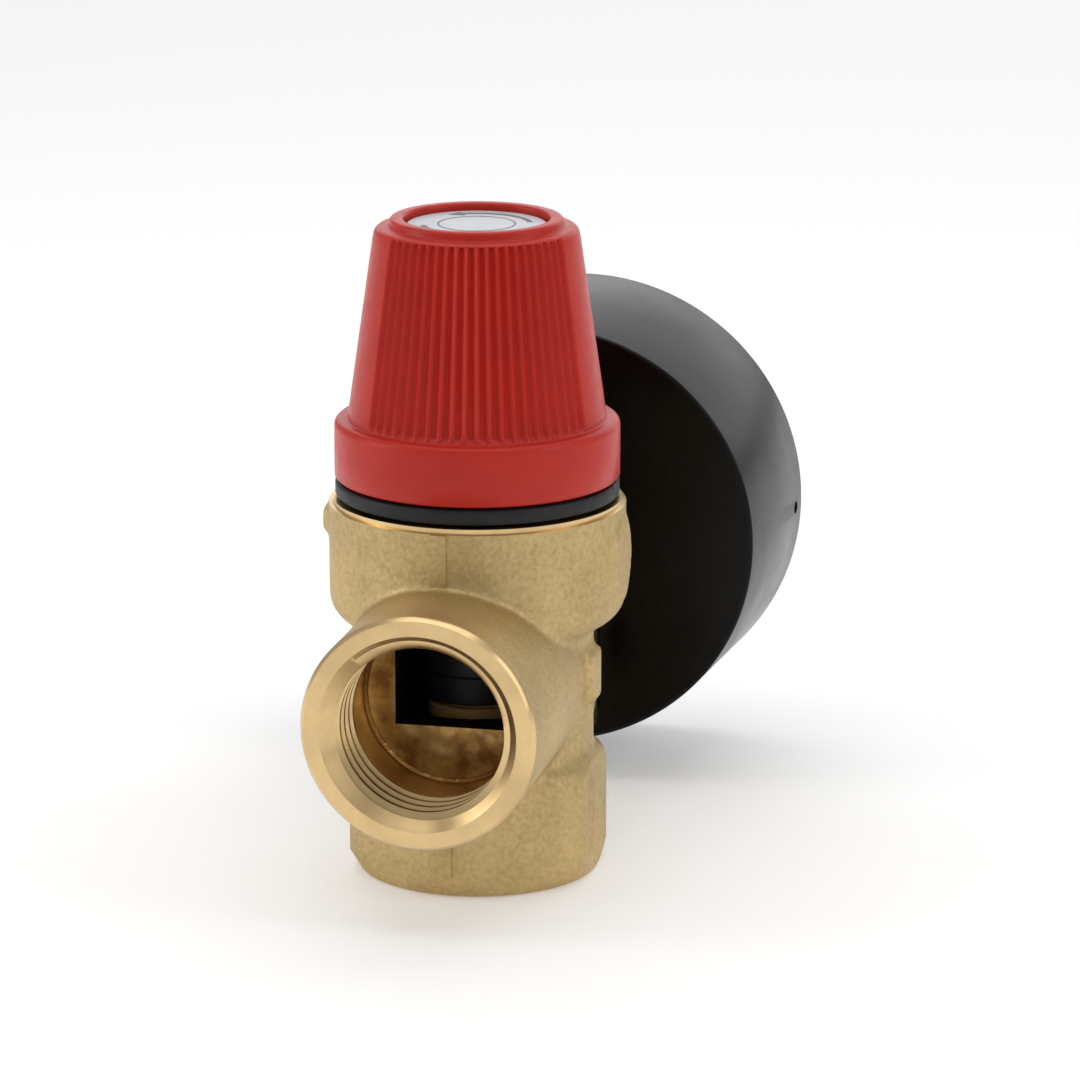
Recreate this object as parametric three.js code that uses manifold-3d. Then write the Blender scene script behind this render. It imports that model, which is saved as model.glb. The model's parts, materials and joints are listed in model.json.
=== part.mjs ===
// Diaphragm pressure relief valve with a back-entry pressure gauge.
// Millimetres, +Z up. Origin: centre of the inlet face. The outlet points to -Y, the gauge dial to +Y.

import * as THREE from 'three';
import { mergeVertices } from 'three/addons/utils/BufferGeometryUtils.js';
import Module from 'manifold-3d';

const wasm = await Module();
wasm.setup();

// ---- driving dimensions ----

const GAP = 0.3; // between pieces that touch

const socketR = 9.7; // mean radius of a G 1/2 thread
const socketMouthR = 11.05; // countersunk mouth of a G 1/2 socket

const baseAcrossFlats = 27.5;
const baseR = 14.9;
const baseTop = 13.9;
const baseRound = 2; // the base's top edge
const baseChamferR = 1.3; // the base's turned bottom edge
const baseChamferZ = 2.2;
const neckR = 13.1;
const barrelR = 16.7;
const barrelBottom = 28.7;
const barrelRound = 3.4;
const barrelTop = 43.0;
const machinedEdge = 0.5; // chamfer on each machined outer edge
const padZ = 22.9; // plain raised pad on the neck

const inletDepth = 13.4;
const nozzleBoreR = 4.5;
const nozzleR = 5.7;
const nozzleTop = 19.4;
const nozzleLead = 0.6; // chamfer at the nozzle's inlet
const chamberR = 9.3;
const chamberFloor = 17.4;
const ledgeZ = 32.0; // the diaphragm is clamped on this ledge
const ledgeBoreR = 13.7;

const outletZ = 23.0;
const outletFaceY = -28.3;
const outletR = 13.16;
const outletThread = 9.2;
const outletBandR = 9.9; // smooth band behind the thread
const outletBoreEnd = 12.8; // distance from the valve's axis to the flat end of the band
const windowHalf = 6.4; // the milled window from the band into the chamber
const windowSill = 19.4;
const windowTop = 29.4;

const portZ = 14.0; // gauge port on the inlet side
const portBossR = 8.8;
const portBossY = 23.0;
const portR = 6.0; // mean radius of a G 1/4 thread
const portDepth = 10.0;
const drillingR = 1.5; // joins the gauge port to the inlet
const drillingZ = 9.4;

const flangeR = 15.95; // bonnet flange: the dark ring under the knob
const flangeBottom = barrelTop + GAP;
const flangeTop = 45.05;
const towerR = 10.2;
const springBoreR = 8.6;
const towerTop = 65.0;
const camRise = 2.0;
const camTeeth = 4;
const camInnerR = 8.5;
const camOuterR = 9.6;

const knobBottom = flangeTop + GAP;
const skirtR = 16.0;
const skirtTop = 52.0;
const coneBottomR = 14.5;
const coneTopR = 11.4;
const shoulderZ = 73.4;
const rimR = 9.7;
const knobTop = 74.65;
const labelR = 8.0;
const fluteCount = 19;
const flutePitch = THREE.MathUtils.degToRad(5.57);
const fluteFacing = THREE.MathUtils.degToRad(-76.4); // middle of the front group of ribs

const sealBottom = nozzleTop + GAP;
const sealTop = sealBottom + 1.9;
const stemR = 3.0;
const stemTop = 69.2;
const springWireR = 1.15;
const springMeanR = 6.7;
const springBottom = 37.0;
const springTop = 62.6;
const springTurns = 6.5;

const gaugeAxisZ = 29.9;
const caseBackY = 32.8;
const caseBackR = 25.43;
const caseFrontR = 26.85;
const caseDepth = 25.5;
const caseWall = 1.6;
const portDrop = gaugeAxisZ - portZ; // the connection sits this far under the dial's centre

const tubeR = 17.0;
const tubeStart = THREE.MathUtils.degToRad(236);
const tubeEnd = THREE.MathUtils.degToRad(-25);
const tubeZ = 5.9; // the tube's middle, above the case's back
const tubeHalfWidth = 1.9;
const tubeHalfThick = 0.75;
const tubeRootInset = 0.13; // radians of arc held by the socket's riser
const tubeTipInset = 0.2; // radians of arc held by the end piece
const toothShare = 0.36; // of the pitch angle's half, below 0.5 for backlash
const toothModule = 0.22;
const pinionTeeth = 10;
const sectorTeeth = 90; // on a full circle
const sectorSwing = THREE.MathUtils.degToRad(30);
const sectorPivotY = -toothModule * (pinionTeeth + sectorTeeth) / 2;
const tailLength = 6.5;
const pillarX = 6.8;
const pillarY = -7.5;

// ---- materials ----

function finish(color, roughness, metalness) {
  return new THREE.MeshStandardMaterial({ color, roughness, metalness });
}

const brass = finish(0xc9aa6a, 0.45, 1);
const steel = finish(0xb9bcc0, 0.35, 1);
const blackPlastic = finish(0x1c1c1e, 0.5, 0);
const redPlastic = finish(0xb1332c, 0.35, 0);
const greyLabel = finish(0xd1d4da, 0.5, 0);
const blackRubber = finish(0x151515, 0.8, 0);
const whitePaint = finish(0xf2f2f0, 0.6, 0);
const blackPaint = finish(0x101010, 0.5, 0);
const clearPlastic = finish(0xdfe8ea, 0.1, 0);

// ---- shape helpers ----

function solid(geometry) {
  const bare = geometry.index ? geometry.toNonIndexed() : geometry.clone();
  bare.deleteAttribute('normal');
  bare.deleteAttribute('uv');
  const merged = mergeVertices(bare, 1e-4);
  return new wasm.Manifold(new wasm.Mesh({
    numProp: 3,
    vertProperties: new Float32Array(merged.attributes.position.array),
    triVerts: new Uint32Array(merged.index.array),
  }));
}

function geometryOf(manifold) {
  const mesh = manifold.getMesh();
  const geometry = new THREE.BufferGeometry();
  geometry.setAttribute('position', new THREE.BufferAttribute(mesh.vertProperties, 3));
  geometry.setIndex(new THREE.BufferAttribute(mesh.triVerts, 1));
  return geometry;
}

// A body turned about Z. Points are [radius, z] and run anticlockwise, from low to high on the outside.
function turned(points, segments = 36) {
  const profile = points.map(([r, z]) => new THREE.Vector2(r, z));
  const closed = points[0][0] > 0 || points.at(-1)[0] > 0;
  if (closed) profile.push(profile[0].clone());
  return new THREE.LatheGeometry(profile, segments).rotateX(Math.PI / 2);
}

function ring(innerR, outerR, z0, z1, segments) {
  return turned([[innerR, z0], [outerR, z0], [outerR, z1], [innerR, z1]], segments);
}

function disc(r, z0, z1, segments) {
  return turned([[0, z0], [r, z0], [r, z1], [0, z1]], segments);
}

function round(r, z, radius, fromDeg, toDeg, steps = 3) {
  return Array.from({ length: steps + 1 }, (_, i) => {
    const a = THREE.MathUtils.degToRad(fromDeg + (toDeg - fromDeg) * i / steps);
    return [r + radius * Math.cos(a), z + radius * Math.sin(a)];
  });
}

function plate(outline, holes, z0, z1) {
  const shape = new THREE.Shape(outline.map(([x, y]) => new THREE.Vector2(x, y)));
  for (const [x, y, r, sides = 12] of holes) {
    const hole = new THREE.Path();
    for (let i = 0; i < sides; i++) {
      const a = -2 * Math.PI * i / sides;
      if (i === 0) hole.moveTo(x + r, y);
      else hole.lineTo(x + r * Math.cos(a), y + r * Math.sin(a));
    }
    hole.closePath();
    shape.holes.push(hole);
  }
  return new THREE.ExtrudeGeometry(shape, { depth: z1 - z0, bevelEnabled: false }).translate(0, 0, z0);
}

function circleOutline(x, y, r, sides = 32) {
  return Array.from({ length: sides }, (_, i) => {
    const a = 2 * Math.PI * i / sides;
    return [x + r * Math.cos(a), y + r * Math.sin(a)];
  });
}

const alongMinusY = (geometry) => geometry.rotateX(Math.PI / 2);
const alongPlusY = (geometry) => geometry.rotateX(-Math.PI / 2);

// ---- valve body ----

// A hexagon with one corner towards the outlet, its corners turned down to a round.
function bodyBase() {
  const cornerR = baseAcrossFlats / 2 / Math.cos(Math.PI / 6);
  const prism = new THREE.CylinderGeometry(cornerR, cornerR, baseTop, 6).rotateX(Math.PI / 2);
  prism.translate(0, 0, baseTop / 2);
  const outline = turned([
    [0, 0], [baseR - baseChamferR, 0], [baseR, baseChamferZ],
    ...round(baseR - baseRound, baseTop - baseRound - 0.3, baseRound, 0, 80, 2), [0, baseTop - 0.3],
  ], 48);
  return solid(prism).intersect(solid(outline));
}

function bodyBarrel() {
  return solid(turned([
    [0, baseTop - 2], [neckR, baseTop - 2], [neckR, barrelBottom],
    [barrelR - barrelRound + 0.9, barrelBottom],
    ...round(barrelR - barrelRound, barrelBottom + barrelRound, barrelRound, -70, 0),
    [barrelR, barrelTop - machinedEdge], [barrelR - machinedEdge, barrelTop], [0, barrelTop],
  ], 48));
}

function outletBoss() {
  const length = -outletFaceY;
  return solid(alongMinusY(turned([
    [0, 0], [outletR, 0], [outletR, length - machinedEdge], [outletR - machinedEdge, length], [0, length],
  ], 48)).translate(0, 0, outletZ));
}

function gaugeBoss() {
  return solid(alongPlusY(disc(portBossR, 0, portBossY, 32)).translate(0, 0, portZ));
}

function castPad() {
  const proud = 0.8;
  const pad = new THREE.BoxGeometry(4, 4.4, 6).translate(neckR + proud - 2, -0.4, padZ);
  return solid(pad);
}

function castLug() {
  const lug = new THREE.CapsuleGeometry(1.1, 2.4, 2, 8).rotateX(Math.PI / 2);
  return solid(lug.translate(-barrelR + 0.35, -1.5, 39.9));
}

function castOval() {
  const oval = new THREE.CylinderGeometry(1, 1, 1.6, 20).rotateZ(Math.PI / 2);
  oval.scale(1, 3.9, 4.6);
  return solid(oval.translate(barrelR - 0.55, 0, 37.2));
}

function inletSocket() {
  return solid(turned([
    [0, -1], [socketMouthR + 1, -1], [socketR, 1.35], [socketR, inletDepth - 1.2],
    [nozzleBoreR + nozzleLead, inletDepth], [nozzleBoreR, inletDepth + nozzleLead],
    [nozzleBoreR, nozzleTop + 1], [0, nozzleTop + 1],
  ], 40));
}

// The room above the nozzle, the diaphragm's ledge and the bonnet's threaded bore.
function chamber() {
  return solid(turned([
    [0, chamberFloor], [chamberR, chamberFloor], [chamberR, ledgeZ], [ledgeBoreR, ledgeZ],
    [ledgeBoreR, barrelTop + 1], [0, barrelTop + 1],
  ], 40));
}

// A threaded mouth, a smooth flat-ended band and a rectangular window into the chamber's side.
function outletSocket() {
  const length = -outletFaceY;
  const bore = alongMinusY(turned([
    [0, outletBoreEnd], [outletBandR, outletBoreEnd], [outletBandR, length - outletThread],
    [socketR, length - outletThread], [socketR, length - 1.35],
    [socketMouthR + 1, length + 1], [0, length + 1],
  ], 40)).translate(0, 0, outletZ);
  const window = new THREE.BoxGeometry(2 * windowHalf, outletBoreEnd + 1, windowTop - windowSill);
  window.translate(0, -(outletBoreEnd + 1) / 2, (windowTop + windowSill) / 2);
  return solid(bore).add(solid(window));
}

function gaugeSocket() {
  const mouth = portBossY;
  return solid(alongPlusY(turned([
    [0, mouth - portDepth - 1.5], [portR, mouth - portDepth], [portR, mouth - 0.8],
    [portR + 1.6, mouth + 0.8], [0, mouth + 0.8],
  ], 32)).translate(0, 0, portZ)).add(solid(
    alongPlusY(disc(drillingR, socketR - 3, mouth - portDepth + 1, 12)).translate(0, 0, drillingZ),
  ));
}

function nozzleRing() {
  return solid(ring(nozzleBoreR, nozzleR, chamberFloor - 1, nozzleTop, 40));
}

function valveBody() {
  const cast = [bodyBarrel(), outletBoss(), gaugeBoss(), castPad(), castLug(), castOval()];
  const outside = cast.reduce((whole, piece) => whole.add(piece), bodyBase());
  const hollow = chamber().add(outletSocket());
  const ports = inletSocket().add(gaugeSocket());
  return geometryOf(outside.subtract(hollow).add(nozzleRing()).subtract(ports));
}

// ---- bonnet, knob and what is under them ----

// A ring whose top face climbs in equal ramps, one per tooth, and drops steeply between them.
function camRing(innerR, outerR, flatZ, lowZ, rise) {
  const dropShare = 0.08;
  const stepsUp = 6;
  const stations = [];
  for (let tooth = 0; tooth < camTeeth; tooth++) {
    for (let step = 0; step <= stepsUp; step++) {
      const share = (1 - dropShare) * step / stepsUp;
      const angle = 2 * Math.PI * (tooth + share) / camTeeth;
      stations.push([angle, lowZ + rise * step / stepsUp]);
    }
  }
  const positions = [];
  for (const [angle, z] of stations) {
    const [c, s] = [Math.cos(angle), Math.sin(angle)];
    positions.push(innerR * c, innerR * s, flatZ, outerR * c, outerR * s, flatZ);
    positions.push(outerR * c, outerR * s, z, innerR * c, innerR * s, z);
  }
  const indices = [];
  stations.forEach((_, i) => {
    const here = 4 * i;
    const next = 4 * ((i + 1) % stations.length);
    for (let k = 0; k < 4; k++) {
      const l = (k + 1) % 4;
      const flip = lowZ > flatZ;
      const quad = [here + k, next + k, next + l, here + l];
      const [a, b, c, d] = flip ? quad : [...quad].reverse();
      indices.push(a, b, c, a, c, d);
    }
  });
  const geometry = new THREE.BufferGeometry();
  geometry.setAttribute('position', new THREE.Float32BufferAttribute(positions, 3));
  geometry.setIndex(indices);
  return geometry;
}

function bonnet() {
  const sleeve = turned([
    [springBoreR, ledgeZ + 3.5], [ledgeBoreR - GAP, ledgeZ + 3.5], [ledgeBoreR - GAP, flangeBottom],
    [flangeR, flangeBottom], [flangeR, flangeTop], [towerR, flangeTop],
    [towerR, towerTop - 3], [camOuterR, towerTop - 2], [camOuterR, towerTop + 0.4],
    [springBoreR, towerTop + 0.4],
  ], 40);
  const cam = camRing(springBoreR, camOuterR, towerTop, towerTop + 0.9, camRise);
  return geometryOf(solid(sleeve).add(solid(cam)));
}

function coneRadius(z) {
  return coneBottomR + (coneTopR - coneBottomR) * (z - skirtTop) / (shoulderZ - skirtTop);
}

function knobOutside() {
  return solid(turned([
    [0, knobBottom], [skirtR, knobBottom], ...round(skirtR - 0.8, skirtTop - 0.8, 0.8, 0, 90, 2),
    [coneBottomR, skirtTop], ...round(coneTopR - 1.2, shoulderZ - 1.2, 1.2, 10, 80, 2),
    [rimR, shoulderZ], [rimR - 0.4, knobTop - 0.3], [labelR + 0.6, knobTop], [labelR + 0.1, knobTop],
    [labelR + 0.1, knobTop - 1.5], [0, knobTop - 1.5],
  ], 48));
}

function knobHollow() {
  return solid(turned([
    [0, knobBottom - 1], [skirtR - 2, knobBottom - 1], [skirtR - 2, skirtTop - 2],
    [coneRadius(skirtTop) - 2.6, skirtTop], [coneRadius(68) - 2.2, 68], [coneRadius(69.5) - 2.2, 69.5],
    [0, 69.5],
  ], 32));
}

function screwPocket() {
  return solid(turned([
    [0, 69], [2.1, 69], [2.1, 71.4], [4.2, 71.4], [4.2, knobTop], [0, knobTop],
  ], 24));
}

function flutes() {
  const foot = skirtTop + 0.9;
  const head = shoulderZ - 1.6;
  const lean = Math.atan2(coneRadius(foot) - coneRadius(head), head - foot);
  const cuts = [];
  for (const facing of [fluteFacing, fluteFacing + Math.PI]) {
    for (let i = 0; i < fluteCount; i++) {
      const groove = new THREE.BoxGeometry(0.8, 0.8, head - foot).rotateZ(Math.PI / 4);
      groove.rotateY(-lean).translate(coneRadius((foot + head) / 2) + 0.05, 0, (foot + head) / 2);
      cuts.push(solid(groove.rotateZ(facing + (i - (fluteCount - 1) / 2) * flutePitch)));
    }
  }
  return wasm.Manifold.union(cuts);
}

function controlKnob() {
  const shell = knobOutside().subtract(knobHollow()).subtract(screwPocket()).subtract(flutes());
  const cam = camRing(camInnerR, camOuterR, 69.8, towerTop + 0.9 + GAP, camRise);
  return geometryOf(shell.add(solid(cam)));
}

function knobScrew() {
  return turned([[0, 65], [1.5, 65], [1.5, 71.7], [3.4, 71.7], [3.4, 72.3], [2.2, 73], [0, 73]], 20);
}

function stem() {
  return geometryOf(solid(disc(stemR, 25.3, stemTop, 24)).subtract(solid(disc(1.8, 64.5, stemTop + 1, 20))));
}

function adjusterRing() {
  const body = solid(turned([
    [stemR + GAP, springTop + GAP], [springBoreR - GAP, springTop + GAP],
    [springBoreR - GAP, 66], [stemR + GAP, 66],
  ], 32));
  const slot = solid(new THREE.BoxGeometry(30, 1.6, 3).translate(0, 0, 66));
  return geometryOf(body.subtract(slot));
}

class Coil extends THREE.Curve {
  getPoint(t, target = new THREE.Vector3()) {
    const a = 2 * Math.PI * springTurns * t;
    const low = springBottom + springWireR;
    const z = low + (springTop - springWireR - low) * t;
    return target.set(springMeanR * Math.cos(a), springMeanR * Math.sin(a), z);
  }
}

function mainSpring() {
  const wire = new THREE.Shape().absarc(0, 0, springWireR, 0, 2 * Math.PI);
  return new THREE.ExtrudeGeometry(wire, { steps: 78, curveSegments: 3, extrudePath: new Coil() });
}

function springPlate() {
  return turned([
    [stemR + GAP, 35.2], [8.0, 35.2], [8.0, 36.7], [4.9, 36.7], [4.6, 39], [stemR + GAP, 39],
  ], 32);
}

function slipWasher() {
  return ring(9.2, ledgeBoreR - GAP, 34.4, 35.2);
}

function diaphragm() {
  return turned([
    [stemR + GAP, 32.7], [7.6, 32.7], [9.6, 32.3], [ledgeBoreR - GAP, 32.3], [ledgeBoreR - GAP, 34.1],
    [11.2, 34.1], [10.4, 33.3], [8.0, 33.7], [stemR + GAP, 33.7],
  ], 32);
}

function obturatorHolder() {
  const body = solid(turned([
    [0, sealTop + GAP], [5.3, sealTop + GAP], [5.3, sealBottom + 0.4], [6.7, sealBottom + 0.4],
    [6.7, 29.2], [8.2, 30.2], [8.2, 32.1], [0, 32.1],
  ], 32));
  const stemHole = solid(disc(stemR + GAP, 25, 33, 24));
  const screwHole = solid(disc(1.3, sealTop, 26, 16));
  return geometryOf(body.subtract(stemHole).subtract(screwHole));
}

function seatSeal() {
  return ring(1.5, 5.0, sealBottom, sealTop, 24);
}

function sealScrew() {
  const under = sealBottom - GAP; // where the head's flat side is
  return turned([
    [0, under - 1.5], [1.6, under - 1.5], [2.6, under - 0.8], [2.6, under], [1.1, under], [1.1, 24.7], [0, 24.7],
  ], 20);
}

// ---- gauge: drawn facing its dial, X to the right, Y up, Z towards the glass ----

const polar = (r, a) => [r * Math.cos(a), r * Math.sin(a)];

function gaugeStem() {
  const drop = -portDrop;
  const threaded = turned([
    [0, -19.4], [portR - 0.9, -19.4], [portR - GAP, -18.6], [portR - GAP, -9.2], [5.2, -9.2],
    [5.2, 0.6], [0, 0.6],
  ], 32).translate(0, drop, 0);
  const square = new THREE.BoxGeometry(14, 14, 8.2).translate(0, drop, -4.7);
  const flange = plate([
    [-10.4, -18.2], [-8, -20], [7.4, -20], [7.4, -12.6], [-6.2, -12.6], [-9.4, -11.4], [-11.6, -14.8],
  ], [[-5.4, -17.9, 1.1], [5.2, -18, 1.1]], caseWall + 0.7, 5);
  const spigot = turned([[0, 0.3], [5.2, 0.3], [5.2, 3], [0, 3]], 32).translate(0, drop, 0);
  const [rootX, rootY] = polar(tubeR, tubeStart);
  const riser = new THREE.BoxGeometry(3.4, 2.6, 4).rotateZ(tubeStart - Math.PI / 2);
  riser.translate(rootX, rootY, tubeZ);
  const passage = turned([[0, -20], [1.4, -20], [1.4, 2.4], [0, 2.4]], 16).translate(0, drop, 0);
  const whole = [square, flange, spigot, riser].reduce((sum, g) => sum.add(solid(g)), solid(threaded));
  return geometryOf(whole.subtract(solid(passage)));
}

function stemWasher() {
  return ring(portR + 0.1, 7.6, -9.5, -9.1, 24).translate(0, -portDrop, 0);
}

function gaugeCase() {
  const inner = caseFrontR - caseWall;
  const tub = turned([
    [0, 0], [caseBackR - 0.5, 0], [caseBackR, 0.5], [caseFrontR, caseDepth - 0.6],
    [caseFrontR - 0.6, caseDepth], [inner - 0.9, caseDepth], [inner - 0.9, caseDepth - 1.1],
    [inner, caseDepth - 1.5], [inner, caseDepth - 3.4], [inner - 1.4, caseDepth - 3.4],
    [inner - 1.4, caseDepth - 5], [caseBackR - caseWall, caseDepth - 6.6],
    [caseBackR - caseWall, 2], [0, 2],
  ], 60);
  const entry = disc(5.6, -1, 3, 32).translate(0, -portDrop, 0);
  let tubSolid = solid(tub).subtract(solid(entry));
  for (const [x, y] of [[-5.4, -17.9], [5.2, -18]]) {
    tubSolid = tubSolid.subtract(solid(disc(1.1, 0.8, 3, 12).translate(x, y, 0)));
  }
  const vent = disc(0.9, -1, 0.6, 12).rotateY(-Math.PI / 2).translate(-caseFrontR - 0.1, 0, caseDepth - 3);
  return geometryOf(tubSolid.subtract(solid(vent)));
}

function gaugeWindow() {
  const r = caseFrontR - caseWall - GAP;
  return disc(r, caseDepth - 3.1, caseDepth - 1.8, 60);
}

function dial() {
  return plate(circleOutline(0, 0, 22.6, 48), [
    [0, 0, 2.4, 16], [-pillarX, pillarY, 1.1], [pillarX, pillarY, 1.1],
  ], 15.5, 16);
}

function pointer() {
  const zero = THREE.MathUtils.degToRad(225);
  const hub = solid(ring(0.62, 2.1, 17.6, 18.6, 24));
  const blade = solid(plate([[1.2, -0.7], [17.5, -0.18], [17.5, 0.18], [1.2, 0.7]], [], 17.9, 18.3));
  const tail = solid(plate([[-6.5, -1.2], [-1.2, -0.6], [-1.2, 0.6], [-6.5, 1.2]], [], 17.9, 18.3));
  return geometryOf(hub.add(blade).add(tail).rotate([0, 0, THREE.MathUtils.radToDeg(zero)]));
}

function stopPin() {
  const angle = THREE.MathUtils.degToRad(225 + 9);
  return disc(0.45, 16.3, 18.9, 12).translate(...polar(12, angle), 0);
}

class TubeArc extends THREE.Curve {
  getPoint(t, target = new THREE.Vector3()) {
    const a = THREE.MathUtils.lerp(tubeStart - tubeRootInset, tubeEnd + tubeTipInset, t);
    return target.set(tubeR * Math.cos(a), tubeR * Math.sin(a), tubeZ);
  }
}

function bourdonTube() {
  const oval = circleOutline(0, 0, 1, 8).map(([x, y]) => new THREE.Vector2(tubeHalfWidth * x, tubeHalfThick * y));
  return new THREE.ExtrudeGeometry(new THREE.Shape(oval), { steps: 26, extrudePath: new TubeArc() });
}

// Tooth outlines are involutes: the same function draws the pinion and the sector's arc.
function toothFlank(teeth, side, steps = 2) {
  const pressure = THREE.MathUtils.degToRad(20);
  const pitchR = toothModule * teeth / 2;
  const circleR = pitchR * Math.cos(pressure);
  const tipR = pitchR + 0.85 * toothModule;
  const halfTooth = toothShare * Math.PI / teeth;
  const roll = (r) => Math.sqrt(Math.max((r / circleR) ** 2 - 1, 0));
  const spread = (r) => roll(r) - Math.atan(roll(r));
  const startR = Math.max(circleR, pitchR - 1.1 * toothModule);
  return Array.from({ length: steps + 1 }, (_, i) => {
    const r = startR + (tipR - startR) * i / steps;
    return [r, side * (halfTooth + spread(pitchR) - spread(r))];
  });
}

function gearOutline(teeth, from, to, phase) {
  const pitchAngle = 2 * Math.PI / teeth;
  const rootR = toothModule * teeth / 2 - 1.25 * toothModule;
  const points = [];
  for (let i = from; i < to; i++) {
    const middle = phase + i * pitchAngle;
    const rising = toothFlank(teeth, -1);
    const falling = toothFlank(teeth, 1).reverse();
    const root = [[rootR, -0.3 * pitchAngle], ...rising, ...falling, [rootR, 0.3 * pitchAngle]];
    for (const [r, a] of root) points.push(polar(r, middle + a));
  }
  return points;
}

function pinionArbor() {
  const gear = plate(gearOutline(pinionTeeth, 0, pinionTeeth, -Math.PI / 2), [], 7.6, 9.2);
  const arbor = turned([
    [0, 5.1], [0.45, 5.1], [0.45, 7.2], [0.7, 7.2], [0.7, 10.4], [0.45, 10.4], [0.45, 18.9], [0, 18.9],
  ], 12);
  return geometryOf(solid(gear).add(solid(arbor)));
}

function sectorGear() {
  const pitchAngle = 2 * Math.PI / sectorTeeth;
  const first = -Math.round((sectorSwing + 0.07) / pitchAngle) - 1;
  const arc = gearOutline(sectorTeeth, first, 3, Math.PI / 2 + pitchAngle / 2);
  const low = Math.PI / 2 + first * pitchAngle;
  const inner = toothModule * sectorTeeth / 2 - 1.9;
  const rim = Array.from({ length: 9 }, (_, i) => {
    return polar(inner, Math.PI / 2 + 3 * pitchAngle + (low - Math.PI / 2 - 3 * pitchAngle) * i / 8);
  });
  const middle = (low + Math.PI / 2 + 3 * pitchAngle) / 2;
  const toothed = plate([...arc, ...rim], [], 8, 8.8);
  const [ax, ay] = polar(inner + 0.6, middle + 0.22);
  const [bx, by] = polar(inner + 0.6, middle - 0.22);
  const web = plate([polar(1.4, middle + 2), [ax, ay], [bx, by], polar(1.4, middle - 2)], [], 8, 8.8);
  const tailAngle = -Math.PI / 2 - sectorSwing / 2;
  const tail = plate([
    polar(1.5, tailAngle - 1.2), polar(tailLength, tailAngle - 0.17), polar(tailLength + 1.1, tailAngle - 0.1),
    polar(tailLength + 1.1, tailAngle + 0.1), polar(tailLength, tailAngle + 0.17), polar(1.5, tailAngle + 1.2),
  ], [], 8, 8.8);
  const arbor = turned([
    [0, 5.1], [0.45, 5.1], [0.45, 7.2], [1.7, 7.2], [1.7, 9.6], [0.45, 9.6], [0.45, 11.9], [0, 11.9],
  ], 12);
  const pin = disc(0.45, 8.4, 10.1, 12).translate(...polar(tailLength, tailAngle), 0);
  const pieces = [web, tail, arbor, pin].map(solid);
  const whole = pieces.reduce((sum, piece) => sum.add(piece), solid(toothed));
  return geometryOf(whole.translate([0, sectorPivotY, 0]));
}

// The link's outer end is a slot, so the tube's pin stays in it through the whole swing.
function link() {
  const tailPin = (swing) => {
    const [x, y] = polar(tailLength, -Math.PI / 2 + swing);
    return [x, y + sectorPivotY];
  };
  const pivot = tailPin(-sectorSwing / 2);
  const far = tailPin(sectorSwing / 2);
  const pin = polar(tubeR, tubeEnd);
  const reach = Math.hypot(pin[0] - pivot[0], pin[1] - pivot[1]);
  const near = Math.hypot(pin[0] - far[0], pin[1] - far[1]);
  const angle = Math.atan2(pin[1] - pivot[1], pin[0] - pivot[0]);
  const half = 0.95;
  const strip = solid(plate([
    [-1.3, -0.9], [0, -1.2], [near - 2.4, -1.2], [near - 1.6, -1.8], [reach + 1.6, -1.8], [reach + 1.6, 1.8],
    [near - 1.6, 1.8], [near - 2.4, 1.2], [0, 1.2], [-1.3, 0.9],
  ], [[0, 0, 0.65]], 9.1, 9.7));
  const slot = solid(plate([
    [near - half, -half], [reach + half - 0.2, -half], [reach + half - 0.2, half], [near - half, half],
  ], [], 8, 11));
  return geometryOf(strip.subtract(slot).rotate([0, 0, THREE.MathUtils.radToDeg(angle)]).translate([...pivot, 0]));
}

function tubeTip() {
  const [x, y] = polar(tubeR, tubeEnd);
  const cap = new THREE.BoxGeometry(2.4, 4.3, 2 * tubeHalfWidth + 0.4).translate(0, 0.85, tubeZ).rotateZ(tubeEnd);
  const pin = disc(0.45, tubeZ, 10.3, 12);
  return geometryOf(solid(cap).add(solid(pin)).translate([x, y, 0]));
}

function movementPlate(z0, z1) {
  return plate([
    [-8.8, -9.6], [-4.5, -14.3], [4.5, -14.3], [8.8, -9.6], [8.6, -5.4], [2.4, 2.6], [-2.4, 2.6], [-8.6, -5.4],
  ], [[0, 0, 0.6], [0, sectorPivotY, 0.6]], z0, z1);
}

function hairspring() {
  const turns = 3;
  const steps = 54;
  const edge = (offset) => Array.from({ length: steps + 1 }, (_, i) => {
    const share = i / steps;
    return polar(1.4 + 2.6 * share + offset, 2 * Math.PI * turns * share);
  });
  return plate([...edge(0), ...edge(0.22).reverse()], [], 6.6, 7.0);
}

// ---- assembly ----

const valve = new THREE.Group();

const gauge = new THREE.Group();
gauge.position.set(0, caseBackY, gaugeAxisZ);
gauge.quaternion.set(0, Math.SQRT1_2, Math.SQRT1_2, 0); // local Z to world +Y, local Y to world +Z
valve.add(gauge);

function add(group, name, geometry, material) {
  const mesh = new THREE.Mesh(geometry, material);
  mesh.name = name;
  group.add(mesh);
  return mesh;
}

add(valve, 'valve_body', valveBody(), brass);
add(valve, 'bonnet', bonnet(), blackPlastic);
add(valve, 'control_knob', controlKnob(), redPlastic);
add(valve, 'knob_label', disc(labelR - GAP + 0.1, knobTop - 1.2, knobTop - 0.8, 48), greyLabel);
add(valve, 'knob_screw', knobScrew(), steel);
add(valve, 'stem', stem(), brass);
add(valve, 'spring_adjuster', adjusterRing(), brass);
add(valve, 'main_spring', mainSpring(), steel);
add(valve, 'spring_plate', springPlate(), steel);
add(valve, 'slip_washer', slipWasher(), whitePaint);
add(valve, 'diaphragm', diaphragm(), blackRubber);
add(valve, 'obturator_holder', obturatorHolder(), blackPlastic);
add(valve, 'seat_seal', seatSeal(), blackRubber);
add(valve, 'seal_screw', sealScrew(), steel);

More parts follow.
